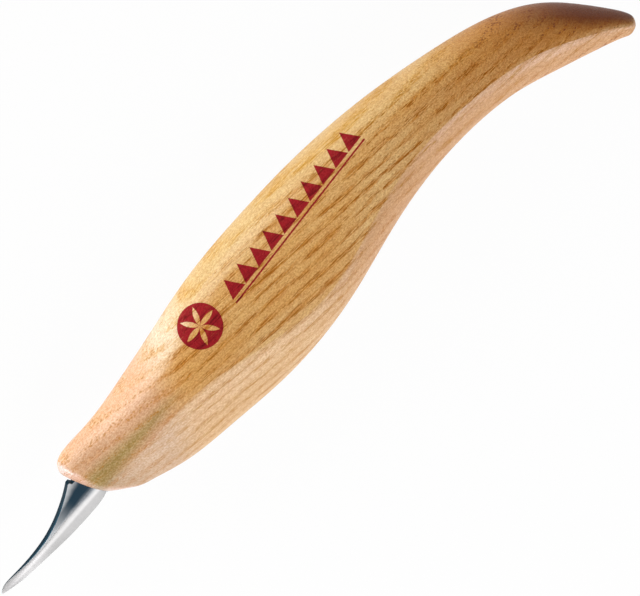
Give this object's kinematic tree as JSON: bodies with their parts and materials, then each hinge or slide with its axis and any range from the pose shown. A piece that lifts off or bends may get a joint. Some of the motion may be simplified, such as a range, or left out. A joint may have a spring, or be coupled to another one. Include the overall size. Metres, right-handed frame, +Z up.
{
  "type": "detail carving knife",
  "caption": "Small carving knife: a slim beak-shaped steel blade with a hollow spine, bedded in a swelling ash handle whose tail hooks down behind the palm.",
  "frame": {"origin": "on the surface the knife lies on, under the middle of its bounding box", "axes": "+X from the blade's tip to the handle's tail, +Y towards the blade's spine, +Z up, across the handle, which is symmetric about the flat plane the blade lies in"},
  "size_m": [0.1602, 0.0292, 0.0197],
  "materials": {
    "ash": "satin clear lacquer",
    "blade_steel": "fine satin grind, polished towards the edge",
    "epoxy": "cured, glossy"
  },
  "bodies": {
    "root": {"handle": "ash", "blade": "blade_steel", "tang_bond": "epoxy"}
  },
  "joints": []
}
